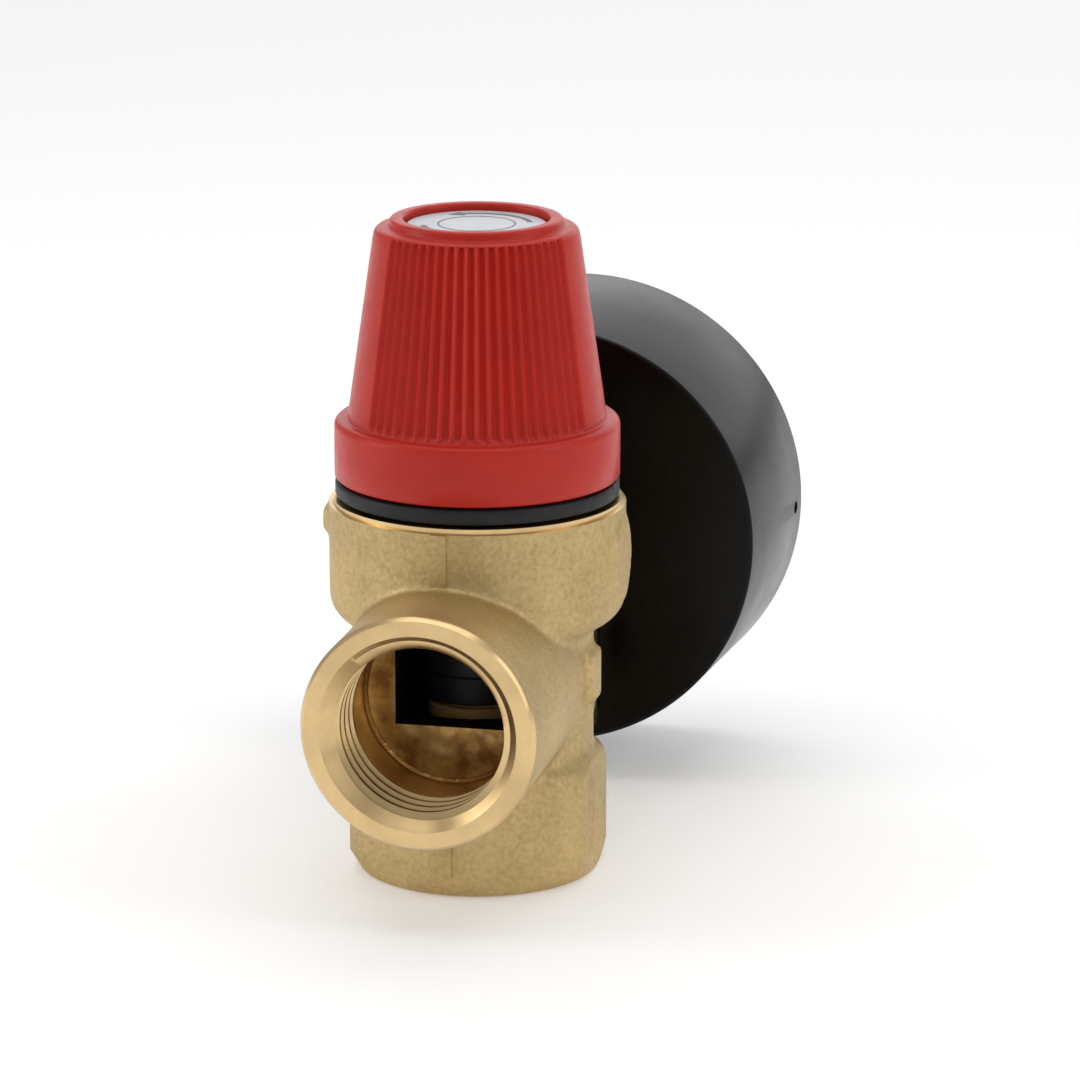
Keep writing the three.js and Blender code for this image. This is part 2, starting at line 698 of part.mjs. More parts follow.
add(gauge, 'gauge_stem', gaugeStem(), brass);
add(gauge, 'stem_washer', stemWasher(), blackRubber);
add(gauge, 'gauge_case', gaugeCase(), blackPlastic);
add(gauge, 'gauge_window', gaugeWindow(), clearPlastic);
add(gauge, 'gauge_dial', dial(), whitePaint);
add(gauge, 'gauge_pointer', pointer(), blackPaint);
add(gauge, 'stop_pin', stopPin(), steel);
add(gauge, 'bourdon_tube', bourdonTube(), brass);
add(gauge, 'tube_tip', tubeTip(), brass);
add(gauge, 'tube_link', link(), steel);
add(gauge, 'sector_gear', sectorGear(), brass);
add(gauge, 'pinion_arbor', pinionArbor(), steel);
add(gauge, 'hairspring', hairspring(), brass);
add(gauge, 'rear_plate', movementPlate(5.3, 6.2), brass);
add(gauge, 'front_plate', movementPlate(10.7, 11.6), brass);

for (const [side, x] of [['left', -pillarX], ['right', pillarX]]) {
  add(gauge, `plate_pillar_${side}`, disc(1.1, 6.5, 10.4, 12), brass).position.set(x, pillarY, 0);
  add(gauge, `dial_post_${side}`, disc(1.1, 11.9, 15.2, 12), brass).position.set(x, pillarY, 0);
}

export default valve;
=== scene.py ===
"""A diaphragm pressure relief valve with its gauge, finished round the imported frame."""

import json
import math

import bpy
from mathutils import Matrix, Vector


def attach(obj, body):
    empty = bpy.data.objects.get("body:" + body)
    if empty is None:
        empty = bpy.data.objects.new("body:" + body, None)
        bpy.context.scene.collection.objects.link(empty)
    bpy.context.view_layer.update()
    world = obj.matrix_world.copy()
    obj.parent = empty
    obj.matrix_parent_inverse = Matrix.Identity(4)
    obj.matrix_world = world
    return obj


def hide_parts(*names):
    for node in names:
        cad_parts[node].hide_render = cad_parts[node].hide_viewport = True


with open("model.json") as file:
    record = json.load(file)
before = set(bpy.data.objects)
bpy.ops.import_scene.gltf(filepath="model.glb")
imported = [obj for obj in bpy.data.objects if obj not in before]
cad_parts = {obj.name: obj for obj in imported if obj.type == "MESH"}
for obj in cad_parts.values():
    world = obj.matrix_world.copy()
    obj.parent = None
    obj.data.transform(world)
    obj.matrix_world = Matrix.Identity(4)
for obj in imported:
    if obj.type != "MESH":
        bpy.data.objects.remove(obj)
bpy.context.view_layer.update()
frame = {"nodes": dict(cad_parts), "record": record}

bl_info = {
    "name": "Pressure relief valve",
    "version": (1, 0, 0),
    "blender": (4, 5, 0),
    "location": "View3D > Sidebar > Valve",
    "description": "Models the valve's visible pieces and their finishes",
    "category": "Object",
}

MM = 0.001
WELD = 0.001 * MM
GAUGE_AXIS_Z = 29.9
CASE_BACK_Y = 32.8
PORT_DROP = 15.9


# ---- settings ----


def length(name, default, text):
    return bpy.props.FloatProperty(name=name, default=default, description=text, min=0.0)


def colour(name, default, text):
    return bpy.props.FloatVectorProperty(
        name=name, default=default, description=text, size=3, subtype="COLOR", min=0.0, max=1.0
    )


class ValveSizes(bpy.types.PropertyGroup):
    """Sizes in millimetres."""

    barrel_r: length("Barrel radius", 16.7, "Outer radius of the barrel under the bonnet")
    neck_r: length("Neck radius", 13.1, "Outer radius of the neck between base and barrel")
    base_flats: length("Base across flats", 27.5, "Wrench size of the hexagonal base")
    base_r: length("Base radius", 14.9, "Turned radius of the base's corners")
    outlet_r: length("Outlet radius", 13.16, "Outer radius of the outlet boss")
    outlet_z: length("Outlet height", 23.0, "Height of the outlet's axis above the inlet face")
    outlet_reach: length("Outlet reach", 28.3, "Distance from the valve's axis to the outlet face")
    thread_major: length("Thread major radius", 10.48, "Half of a G 1/2 thread's major diameter")
    thread_minor: length("Thread minor radius", 9.32, "Half of a G 1/2 thread's minor diameter")
    thread_pitch: length("Thread pitch", 1.814, "Pitch of a G 1/2 thread")
    band_r: length("Band radius", 9.9, "Radius of the smooth band behind the outlet's thread")
    skirt_r: length("Knob skirt radius", 16.0, "Radius of the knob's smooth skirt")
    rib_depth: length("Rib depth", 0.6, "Depth of the grooves between the knob's ribs")
    forging_voxel: length("Forging voxel", 0.42, "Grid used to weld and soften the forging")


class ValveColours(bpy.types.PropertyGroup):
    """Finish colours."""

    forged: colour("Forged brass", (0.55, 0.41, 0.195), "Shot-blasted forging")
    machined: colour("Machined brass", (0.73, 0.525, 0.26), "Freshly turned brass")
    knob: colour("Knob", (0.5, 0.025, 0.015), "Red moulded plastic")
    nylon: colour("Nylon", (0.012, 0.012, 0.013), "Black moulded nylon")
    case: colour("Gauge case", (0.002, 0.002, 0.002), "Gloss black plastic")
    label: colour("Label", (0.6, 0.62, 0.67), "Silver-grey printed foil")


# ---- modelling helpers ----


def settle():
    """Object mode with nothing selected."""
    if bpy.context.object and bpy.context.object.mode != "OBJECT":
        bpy.ops.object.mode_set(mode="OBJECT")
    bpy.ops.object.select_all(action="DESELECT")


def pick(*pieces):
    settle()
    for piece in pieces:
        piece.select_set(True)
    bpy.context.view_layer.objects.active = pieces[0]


def arc(r, z, radius, start, stop, steps=6):
    """Profile points on a round, between two angles in degrees."""
    turns = [math.radians(start + (stop - start) * i / steps) for i in range(steps + 1)]
    return [(r + radius * math.cos(a), z + radius * math.sin(a)) for a in turns]


def turned(name, profile, around=128):
    """A body spun about Z from a profile of (radius, height) points in millimetres."""
    settle()
    bpy.ops.mesh.primitive_circle_add(vertices=3, radius=MM, fill_type="NOTHING", location=(0, 0, 0))
    piece = bpy.context.object
    piece.name = name
    bpy.ops.object.mode_set(mode="EDIT")
    bpy.ops.mesh.select_all(action="SELECT")
    bpy.ops.mesh.merge(type="CENTER")
    spots = [Vector((r, 0, z)) * MM for r, z in profile]
    bpy.ops.transform.translate(value=spots[0])
    for here, there in zip(spots, spots[1:]):
        bpy.ops.mesh.extrude_vertices_move(TRANSFORM_OT_translate={"value": there - here})
    bpy.ops.mesh.select_all(action="SELECT")
    bpy.ops.mesh.spin(steps=around, angle=math.tau, center=(0, 0, 0), axis=(0, 0, 1))
    bpy.ops.mesh.select_all(action="SELECT")
    bpy.ops.mesh.remove_doubles(threshold=2 * WELD)
    bpy.ops.mesh.normals_make_consistent(inside=False)
    bpy.ops.object.mode_set(mode="OBJECT")
    return piece


def closed(profile):
    return [*profile, profile[0]]


def rod(name, radius, start, end, around=96):
    """A plain cylinder along Z."""
    return turned(name, [(0, start), (radius, start), (radius, end), (0, end)], around)


def ring(name, inner, outer, start, end, around=128):
    """A plain ring about Z."""
    return turned(name, closed([(inner, start), (outer, start), (outer, end), (inner, end)]), around)


def place(piece, at=(0, 0, 0), turn=(0, 0, 0)):
    """Turns a piece (degrees), then moves it (millimetres), and keeps the place in its mesh."""
    pick(piece)
    piece.rotation_euler = [math.radians(a) for a in turn]
    piece.location = Vector(at) * MM
    bpy.ops.object.transform_apply(location=True, rotation=True, scale=True)
    return piece


def to_outlet(piece):
    """From the Z axis to the outlet's axis, Z becoming the way out."""
    return place(piece, (0, 0, sizes().outlet_z), (90, 0, 0))


def to_back(piece, height):
    """From the Z axis to a level line that leaves the valve's back at a height."""
    return place(piece, (0, 0, height), (-90, 0, 0))


def to_gauge(piece, x=0.0, y=0.0):
    """From a drawing that faces its reader to the gauge, X right and Y up on the dial."""
    pick(piece)
    dial = Matrix(((-1, 0, 0), (0, 0, 1), (0, 1, 0))).to_4x4()
    middle = Vector((0, CASE_BACK_Y, GAUGE_AXIS_Z)) * MM
    piece.matrix_world = Matrix.Translation(middle) @ dial @ Matrix.Translation(Vector((x, y, 0)) * MM)
    bpy.ops.object.transform_apply(location=True, rotation=True, scale=True)
    return piece


def box(name, size, at):
    settle()
    bpy.ops.mesh.primitive_cube_add(size=1, location=Vector(at) * MM)
    piece = bpy.context.object
    piece.name = name
    piece.scale = Vector(size) * MM
    bpy.ops.object.transform_apply(location=True, rotation=True, scale=True)
    return piece


def apply(piece, kind, **settings):
    pick(piece)
    modifier = piece.modifiers.new(kind.title(), kind)
    for key, value in settings.items():
        setattr(modifier, key, value)
    bpy.ops.object.modifier_apply(modifier=modifier.name)
    return piece


def boolean(piece, tool, operation="DIFFERENCE"):
    """Cuts or joins with a tool, whose material goes with its faces, and removes the tool."""
    apply(piece, "BOOLEAN", object=tool, operation=operation, solver="MANIFOLD", material_mode="TRANSFER")
    bpy.data.objects.remove(tool)
    return piece


def joined(*pieces):
    pick(*pieces)
    bpy.ops.object.join()
    return pieces[0]


def trimmed(piece, at, normal, material):
    """Cuts a piece off flat at a plane and gives the flat its own material."""
    pick(piece)
    bpy.ops.object.mode_set(mode="EDIT")
    bpy.ops.mesh.select_all(action="SELECT")
    bpy.ops.mesh.bisect(
        plane_co=Vector(at) * MM, plane_no=normal, use_fill=True, clear_outer=True, threshold=WELD
    )
    piece.active_material_index = piece.data.materials.find(material.name)
    bpy.ops.object.material_slot_assign()
    bpy.ops.object.mode_set(mode="OBJECT")
    return piece


def keep(piece, wanted):
    """Leaves only the vertices that a test, given their places in millimetres, wants."""
    pick(piece)
    bpy.ops.object.mode_set(mode="EDIT")
    bpy.ops.mesh.select_mode(type="VERT")
    bpy.ops.mesh.select_all(action="DESELECT")
    bpy.ops.object.mode_set(mode="OBJECT")
    for vertex in piece.data.vertices:
        vertex.select = not wanted(vertex.co / MM)
    bpy.ops.object.mode_set(mode="EDIT")
    bpy.ops.mesh.delete(type="VERT")
    bpy.ops.object.mode_set(mode="OBJECT")
    return piece


def capped(piece):
    """Closes a piece's open ends and turns its faces outwards."""
    pick(piece)
    bpy.ops.object.mode_set(mode="EDIT")
    bpy.ops.mesh.select_all(action="SELECT")
    bpy.ops.mesh.fill_holes(sides=0)
    bpy.ops.mesh.select_all(action="SELECT")
    bpy.ops.mesh.normals_make_consistent(inside=False)
    bpy.ops.object.mode_set(mode="OBJECT")
    return piece


def rounded(piece, width, segments=3, angle=35):
    return apply(
        piece, "BEVEL", width=width * MM, segments=segments, limit_method="ANGLE",
        angle_limit=math.radians(angle), use_clamp_overlap=True,
    )


def smooth(piece, angle=32):
    pick(piece)
    bpy.ops.object.shade_smooth_by_angle(angle=math.radians(angle))
    return piece


def finish_piece(piece, body, slot, *nodes):
    """Puts a piece on its body in place of the nodes it stands for; the slot argument is not used."""
    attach(piece, body)
    if nodes:
        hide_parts(*nodes)


def painted(piece, *materials):
    piece.data.materials.clear()
    for material in materials:
        piece.data.materials.append(material)
    return piece


def sizes():
    return bpy.context.scene.valve_sizes


def colours():
    return bpy.context.scene.valve_colours


# ---- materials ----


class Recipe:
    """A node material under construction: a Principled shader and short ways to add to it."""

    WAVES = math.tau / 0.31

    def __init__(self, name, base, roughness, metallic=0.0, **sockets):
        self.material = bpy.data.materials.new(f"{name}_finish")
        self.material.use_nodes = True
        self.nodes = self.material.node_tree.nodes
        self.links = self.material.node_tree.links
        self.shader = self.nodes["Principled BSDF"]
        self.set(Base_Color=(*base, 1), Roughness=roughness, Metallic=metallic, **sockets)
        self.material.diffuse_color = (*base, 1)

    def set(self, **sockets):
        for key, value in sockets.items():
            self.shader.inputs[key.replace("_", " ")].default_value = value

    def node(self, kind, **inputs):
        node = self.nodes.new(f"ShaderNode{kind}")
        for key, value in inputs.items():
            node.inputs[key.replace("_", " ")].default_value = value
        return node

    def place(self):
        return self.node("TexCoord").outputs["Object"]

    def noise(self, scale, detail=3.0, roughness=0.5):
        noise = self.node("TexNoise", Scale=scale, Detail=detail, Roughness=roughness)
        self.links.new(self.place(), noise.inputs["Vector"])
        return noise.outputs["Fac"]

    def cells(self, scale):
        cells = self.node("TexVoronoi", Scale=scale)
        self.links.new(self.place(), cells.inputs["Vector"])
        return cells.outputs["Distance"]

    def span(self, value, low, high, out_low, out_high):
        span = self.node("MapRange")
        for key, number in zip(("From Min", "From Max", "To Min", "To Max"), (low, high, out_low, out_high)):
            span.inputs[key].default_value = number
        self.links.new(value, span.inputs["Value"])
        return span.outputs["Result"]

    def sum(self, first, second, share):
        """Two patterns mixed by a share and stretched to the whole range from 0 to 1."""
        mix = self.node("Mix")
        mix.inputs[0].default_value = share
        self.links.new(first, mix.inputs[2])
        self.links.new(second, mix.inputs[3])
        return self.span(mix.outputs[0], 0.36, 0.64, 0, 1)

    def tint(self, factor, dark, light):
        mix = self.node("Mix")
        mix.data_type = "RGBA"
        mix.inputs[6].default_value = (*dark, 1)
        mix.inputs[7].default_value = (*light, 1)
        self.links.new(factor, mix.inputs[0])
        self.links.new(mix.outputs[2], self.shader.inputs["Base Color"])

    def gloss(self, value):
        self.links.new(value, self.shader.inputs["Roughness"])

    def bump(self, height, strength, depth_mm, before=None):
        bump = self.node("Bump", Strength=strength, Distance=depth_mm * MM)
        self.links.new(height, bump.inputs["Height"])
        if before:
            self.links.new(before, bump.inputs["Normal"])
        self.links.new(bump.outputs["Normal"], self.shader.inputs["Normal"])
        return bump.outputs["Normal"]

    def rings(self, axis, centre, per_mm):
        """Fine turning rings about an axis that runs through a centre in millimetres."""
        shift = self.node("Mapping")
        shift.inputs["Location"].default_value = -Vector(centre) * MM
        self.links.new(self.place(), shift.inputs["Vector"])
        scale = per_mm / MM / self.WAVES
        rings = self.node("TexWave", Scale=scale, Distortion=0.6, Detail=1.0, Detail_Scale=3.0)
        rings.wave_type = "RINGS"
        rings.rings_direction = axis
        self.links.new(shift.outputs["Vector"], rings.inputs["Vector"])
        return rings.outputs["Fac"]


def shade(base, factor):
    return tuple(min(1.0, channel * factor) for channel in base)


def forged_brass():
    """Shot-blasted brass: small dents over a cloudy colour."""
    base = tuple(colours().forged)
    made = Recipe("forged_brass", base, 0.55, 1.0)
    clouds = made.noise(110, 4, 0.6)
    grain = made.noise(1700, 4, 0.6)
    made.tint(made.sum(clouds, grain, 0.42), shade(base, 0.86), shade(base, 1.14))
    made.gloss(made.span(grain, 0.3, 0.7, 0.62, 0.46))
    dents = made.bump(made.cells(1900), 0.5, 0.06)
    made.bump(grain, 0.6, 0.09, dents)
    return made.material


def machined_brass(name, axis, centre):
    base = tuple(colours().machined)
    made = Recipe(name, base, 0.3, 1.0)
    blotches = made.noise(160, 3, 0.55)
    made.tint(made.span(blotches, 0.35, 0.7, 0, 1), shade(base, 0.88), shade(base, 1.06))
    made.gloss(made.span(blotches, 0.3, 0.7, 0.36, 0.24))
    made.bump(made.rings(axis, centre, 5), 0.3, 0.012)
    return made.material


def end_cut():
    """The flat end of the outlet's bore, darkened to brown in blotches as painted shade, with the cutter's
    rings.
    """
    base = tuple(colours().machined)
    made = Recipe("end_cut", base, 0.3, 1.0)
    blotches = made.noise(260, 4, 0.6)
    # Both colours are far darker than the machined brass: painted shade on the bore's end.
    made.tint(made.span(blotches, 0.38, 0.62, 0, 1), (0.26, 0.12, 0.035), (0.6, 0.38, 0.14))
    made.gloss(made.span(blotches, 0.3, 0.7, 0.42, 0.26))
    made.bump(made.rings("Y", (0, 0, 23), 2.2), 0.8, 0.05)
    return made.material


def chamber_cut():
    """The relief chamber's inside: dull brass painted near black, as painted shade."""
    made = Recipe("chamber_cut", (0.03, 0.02, 0.01), 0.6, 0.6)
    made.tint(made.span(made.noise(300, 3), 0.3, 0.7, 0, 1), (0.016, 0.011, 0.006), (0.04, 0.026, 0.012))
    made.gloss(made.span(made.noise(500, 2), 0.3, 0.7, 0.7, 0.5))
    made.bump(made.rings("Z", (0, 0, 0), 4), 0.3, 0.015)
    return made.material


def red_plastic():
    base = tuple(colours().knob)
    made = Recipe("red_plastic", base, 0.33, 0.0, Specular_IOR_Level=0.22)
    made.set(Subsurface_Weight=0.04, Subsurface_Scale=0.002)
    mottle = made.noise(220, 3, 0.5)
    made.tint(made.span(mottle, 0.3, 0.7, 0, 1), shade(base, 0.95), shade(base, 1.05))
    made.gloss(made.span(made.noise(900, 2), 0.3, 0.7, 0.38, 0.3))
    made.bump(made.noise(1300, 2), 0.12, 0.03)
    return made.material


def black_nylon():
    base = tuple(colours().nylon)
    made = Recipe("black_nylon", base, 0.5, 0.0, Specular_IOR_Level=0.3)
    made.tint(made.span(made.noise(500, 4), 0.3, 0.7, 0, 1), shade(base, 0.85), shade(base, 1.2))
    made.gloss(made.span(made.noise(700, 2), 0.3, 0.7, 0.55, 0.42))
    made.bump(made.noise(2200, 2), 0.2, 0.03)
    return made.material


def case_plastic():
    base = tuple(colours().case)
    made = Recipe("case_plastic", base, 0.25, 0.0, Specular_IOR_Level=0.16)
    made.tint(made.span(made.noise(300, 4), 0.3, 0.7, 0, 1), shade(base, 0.8), shade(base, 1.3))
    made.gloss(made.span(made.noise(120, 4), 0.3, 0.7, 0.3, 0.2))
    made.bump(made.noise(1600, 2), 0.05, 0.02)
    return made.material


def label_foil():
    base = tuple(colours().label)
    made = Recipe("label_foil", base, 0.4, 0.35)
    made.tint(made.span(made.noise(700, 3), 0.3, 0.7, 0, 1), shade(base, 0.94), shade(base, 1.05))
    made.gloss(made.span(made.noise(300, 3), 0.3, 0.7, 0.48, 0.34))
    made.bump(made.noise(900, 3), 0.1, 0.02)
    return made.material


def plain(name, base, roughness, metallic=0.0, grain=1200, depth=0.02, **sockets):
    """A quiet finish with a little grain, for small pieces."""
    made = Recipe(name, base, roughness, metallic, **sockets)
    made.tint(made.span(made.noise(400, 3), 0.3, 0.7, 0, 1), shade(base, 0.92), shade(base, 1.06))
    made.gloss(made.span(made.noise(300, 3), 0.3, 0.7, roughness * 1.12, roughness * 0.9))
    made.bump(made.noise(grain, 2), 0.2, depth)
    return made.material


def clear_window():
    made = Recipe("clear_window", (0.95, 0.98, 0.98), 0.03, 0.0, Transmission_Weight=1.0, IOR=1.49)
    made.gloss(made.span(made.noise(60, 3), 0.3, 0.7, 0.02, 0.05))
    return made.material


MAKERS = {
    "forged_brass": forged_brass,
    "outlet_cut": lambda: machined_brass("outlet_cut", "Y", (0, 0, 23)),
    "upright_cut": lambda: machined_brass("upright_cut", "Z", (0, 0, 0)),
    "end_cut": end_cut,
    "chamber_cut": chamber_cut,
    "red_plastic": red_plastic,
    "black_nylon": black_nylon,
    "case_plastic": case_plastic,
    "label_foil": label_foil,
    "clear_window": clear_window,
    "turned_brass": lambda: plain("turned_brass", (0.78, 0.58, 0.29), 0.28, 1.0),
    # The nozzle's brass is brighter and less metallic than the other cut brass, so it looks lit in the dark
    # chamber: painted light.
    "nozzle_painted_light": lambda: plain("nozzle_painted_light", (0.98, 0.66, 0.26), 0.4, 0.35),
    "spring_steel": lambda: plain("spring_steel", (0.56, 0.57, 0.6), 0.32, 1.0),
    "rubber_seal": lambda: plain("rubber_seal", (0.02, 0.02, 0.021), 0.6, depth=0.05),
    "white_plastic": lambda: plain("white_plastic", (0.78, 0.78, 0.75), 0.4),
    "dial_white": lambda: plain("dial_white", (0.86, 0.86, 0.84), 0.55, depth=0.01),
    "dial_print": lambda: plain("dial_print", (0.015, 0.015, 0.017), 0.6, depth=0.01),
    "label_print": lambda: plain("label_print", (0.16, 0.165, 0.18), 0.55, depth=0.01),
}


def finish(name):
    """The named material, made the first time that it is asked for."""
    return bpy.data.materials.get(f"{name}_finish") or MAKERS[name]()


# ---- pieces ----


class VALVE_OT_forging(bpy.types.Operator):
    """Model the forged body with its machined mouths, threads and nozzle"""

    bl_idname = "valve.forging"
    bl_label = "Forged body"

    FINISHES = ("forged_brass", "upright_cut", "outlet_cut", "chamber_cut", "end_cut", "nozzle_painted_light")
    OVERRUN = 1.0
    BASE_TOP, BASE_ROUND = 13.9, 2.4
    BARREL_FOOT, BARREL_TOP, BARREL_ROUND = 28.4, 43.0, 3.2
    ROUGH_TOP = BARREL_TOP + OVERRUN
    BOSS_Z, BOSS_FACE = 14.0, 23.0
    CHAMBER_R, CHAMBER_FLOOR = 9.3, 17.4
    SEAT_R, SEAT_Z = 13.7, 32.0
    BORE_END, THREAD_DEPTH, THREAD_TURNS = 12.8, 9.2, 5
    WAY_R, NOZZLE_TOP = 4.5, 19.4

    def base(self, s):
        """The hexagonal base, with its corners turned and rounded at the top."""
        settle()
        corner = s.base_flats / 2 / math.cos(math.pi / 6)
        depth = self.BASE_TOP + self.OVERRUN
        middle = (self.BASE_TOP - self.OVERRUN) / 2
        bpy.ops.mesh.primitive_cylinder_add(
            vertices=6, radius=corner * MM, depth=depth * MM, location=(0, 0, middle * MM)
        )
        hexagon = bpy.context.object
        hexagon.name = "body_forging"
        bpy.ops.object.transform_apply(location=True, rotation=True, scale=True)
        shoulder = arc(s.base_r - self.BASE_ROUND, self.BASE_TOP - self.BASE_ROUND, self.BASE_ROUND, 0, 80)
        turned_down = turned("turned_down", [
            (0, -self.OVERRUN), (s.base_r, -self.OVERRUN), *shoulder, (0, self.BASE_TOP),
        ], 96)
        return boolean(hexagon, turned_down, "INTERSECT")

    def barrel_edge(self, s, proud=0.0):
        """The barrel's side, from its round underside up, drawn out by an extra height."""
        underside = arc(s.barrel_r - self.BARREL_ROUND, 32.0, self.BARREL_ROUND + proud, -75, 0)
        return [*underside, (s.barrel_r + proud, self.ROUGH_TOP)]

    def shell(self, s):
        """The neck with its barrel, the outlet and the gauge boss, as plain turned shapes."""
        barrel = turned("barrel", [
            (0, 12), (s.neck_r, 12), (s.neck_r, self.BARREL_FOOT), (s.barrel_r - 2.6, self.BARREL_FOOT),
            *self.barrel_edge(s), (0, self.ROUGH_TOP),
        ], 96)
        outlet = to_outlet(rod("outlet", s.outlet_r, 0, 29.5))
        boss = to_back(rod("gauge_boss", 8.8, 0, self.BOSS_FACE + self.OVERRUN, 72), self.BOSS_Z)
        return [barrel, outlet, boss]

    def oval(self, s):
        """A plain oval on the barrel's right side, sunk inside its rim."""
        slabs = []
        for name, radius, depth, stretch in (("oval", 1, 1, 1.5), ("hollow", 0.8, 2, 2.0)):
            slab = place(rod(name, radius, 0, depth, 48), turn=(0, 90, 0))
            pick(slab)
            slab.scale = (stretch, 3.9, 4.7)
            slab.location = Vector((s.barrel_r - 1.15, 0, 36.6)) * MM
            bpy.ops.object.transform_apply(location=True, rotation=True, scale=True)
            slabs.append(slab)
        rim, hollow = slabs
        return boolean(rim, place(hollow, (1.25, 0, 0)))

    def marks(self, s):
        """Raised forging marks: a pad on the neck, a strip on the base, a lug and the oval."""
        return [
            box("pad", (4, 4.4, 6), (s.neck_r - 1.1, -0.4, 22.9)),
            box("strip", (2, 1.1, 8.6), (s.base_flats / 2 - 0.55, -2.4, 6.9)),
            box("lug", (1.7, 4.4, 2.6), (-s.barrel_r + 0.5, -2.0, 40.2)),
            self.oval(s),
        ]

    def flash(self, s):
        """The trimmed flash of the forging dies: a low band down the front and the back."""
        bands = [
            turned("flash_barrel", [(0, 30), *self.barrel_edge(s, 0.22), (0, self.ROUGH_TOP)], 160),
            rod("flash_base", s.base_r + 0.18, 0.5, 11.6, 160),
        ]
        for band in bands:
            boolean(band, box("front_and_back", (1.8, 60, 60), (-0.4, 0, 30)), "INTERSECT")
        return bands

    def cut(self, body, tool, name, operation="DIFFERENCE"):
        """Cuts or joins with a tool, and gives the new faces the named finish."""
        return boolean(body, painted(tool, finish(name)), operation)

    def weld(self, s):
        """The forging's plain shapes in one softened skin."""
        body = joined(self.base(s), *self.shell(s), *self.marks(s))
        apply(body, "REMESH", mode="VOXEL", voxel_size=s.forging_voxel * MM, use_smooth_shade=True)
        apply(body, "SMOOTH", factor=0.5, iterations=7)
        painted(body, *[finish(name) for name in self.FINISHES])
        for band in self.flash(s):
            self.cut(body, band, "forged_brass", "UNION")
        return body

    def face(self, s, body):
        """The four machined ends: the inlet, the barrel's top, the outlet and the gauge boss."""
        for at, normal, name in (
            ((0, 0, 0), (0, 0, -1), "upright_cut"),
            ((0, 0, self.BARREL_TOP), (0, 0, 1), "upright_cut"),
            ((0, -s.outlet_reach, 0), (0, -1, 0), "outlet_cut"),
            ((0, self.BOSS_FACE, 0), (0, 1, 0), "outlet_cut"),
        ):
            trimmed(body, at, normal, finish(name))

    def ease(self, s, body):
        """The turned edges of the barrel's top and the outlet, and the chamfer under the base."""
        top, reach = self.BARREL_TOP, s.outlet_reach
        lip = turned("lip", closed([
            (s.barrel_r - 0.45, top - 0.5), (s.barrel_r - 0.45, top + 0.5),
            (s.barrel_r + 1, top + 0.5), (s.barrel_r + 1, top - 0.8),
        ]), 128)
        self.cut(body, lip, "upright_cut")
        rim = turned("rim", closed([
            (s.outlet_r - 0.55, reach + 0.2), (s.outlet_r + 1, reach + 0.2), (s.outlet_r + 1, reach - 1.2),
            (s.outlet_r, reach - 0.6), (s.outlet_r - 0.25, reach - 0.25),
        ]), 128)
        self.cut(body, to_outlet(rim), "outlet_cut")
        chamfer = turned("chamfer", closed([
            (s.base_r - 1.6, -0.5), (s.base_r + 3, -0.5), (s.base_r + 3, 5.75), (s.base_r + 2.1, 5.75),
        ]), 160)
        self.cut(body, chamfer, "forged_brass")

    def open_chamber(self, body):
        """The relief chamber, and the wider seat for the bonnet above it."""
        floor, top = self.CHAMBER_FLOOR, self.BARREL_TOP
        chamber = turned("chamber", [
            (0, floor), (self.CHAMBER_R, floor), (self.CHAMBER_R, self.SEAT_Z), (self.SEAT_R, self.SEAT_Z),
            (self.SEAT_R, top - 0.4), (14.1, top), (14.1, self.ROUGH_TOP), (0, self.ROUGH_TOP),
        ], 128)
        # The chamber's walls take the near-black brass, painted shade for the dark inside.
        self.cut(body, chamber, "chamber_cut")

    def open_outlet(self, s, body):
        """The outlet's bore, its flat end, and the window from there into the chamber."""
        reach, end = s.outlet_reach, self.BORE_END
        bore = turned("bore", [
            (0, end), (9.6, end), (s.band_r, end + 0.3), (s.band_r, reach - self.THREAD_DEPTH),
            (s.thread_minor, reach - self.THREAD_DEPTH + 0.5), (s.thread_minor, reach - 1.7),
            (11.05, reach), (11.55, reach + 0.5), (0, reach + 0.5),
        ], 160)
        self.cut(body, to_outlet(bore), "outlet_cut")
        wall = s.band_r - 0.1
        # The flat end takes the dark brown painted-shade finish.
        facing = turned("facing", [
            (0, end - 0.1), (9.5, end - 0.1), (wall, end + 0.2), (wall, 14), (0, 14),
        ], 160)
        self.cut(body, to_outlet(facing), "end_cut")
        # The window's walls take the same near-black painted shade.
        self.cut(body, box("window", (12.8, 14, 10), (0, -7, 24.4)), "chamber_cut")

    def open_inlet(self, s, body):
        """The seat nozzle that stands in the chamber, and the way up to it from the inlet."""
        way, floor, tip = self.WAY_R, self.CHAMBER_FLOOR, self.NOZZLE_TOP
        nozzle = turned("nozzle", closed([
            (way, floor - 1), (5.9, floor - 1), (5.7, floor), (5.7, tip - 0.2), (5.5, tip), (4.7, tip),
            (way, tip - 0.2),
        ]), 128)
        # The nozzle takes the brightened brass, painted light.
        self.cut(body, nozzle, "nozzle_painted_light", "UNION")
        inlet = turned("inlet", [
            (0, -1), (12.05, -1), (11.05, 0), (s.thread_minor, 1.7), (s.thread_minor, 12.2), (9.3, 12.4),
            (5.1, 13.4), (way, 14.2), (way, 21), (0, 21),
        ], 160)
        self.cut(body, inlet, "upright_cut")

    def open_port(self, body):
        """The gauge's port, with the drilling that brings it the inlet's pressure."""
        face = self.BOSS_FACE
        port = turned("port", [
            (0, 11.5), (5.9, 13), (5.9, face - 0.7), (6.6, face), (7.6, face + 1), (0, face + 1),
        ], 96)
        self.cut(body, to_back(port, self.BOSS_Z), "outlet_cut")
        self.cut(body, to_back(rod("drilling", 1.5, 7, 14, 32), 9.4), "outlet_cut")

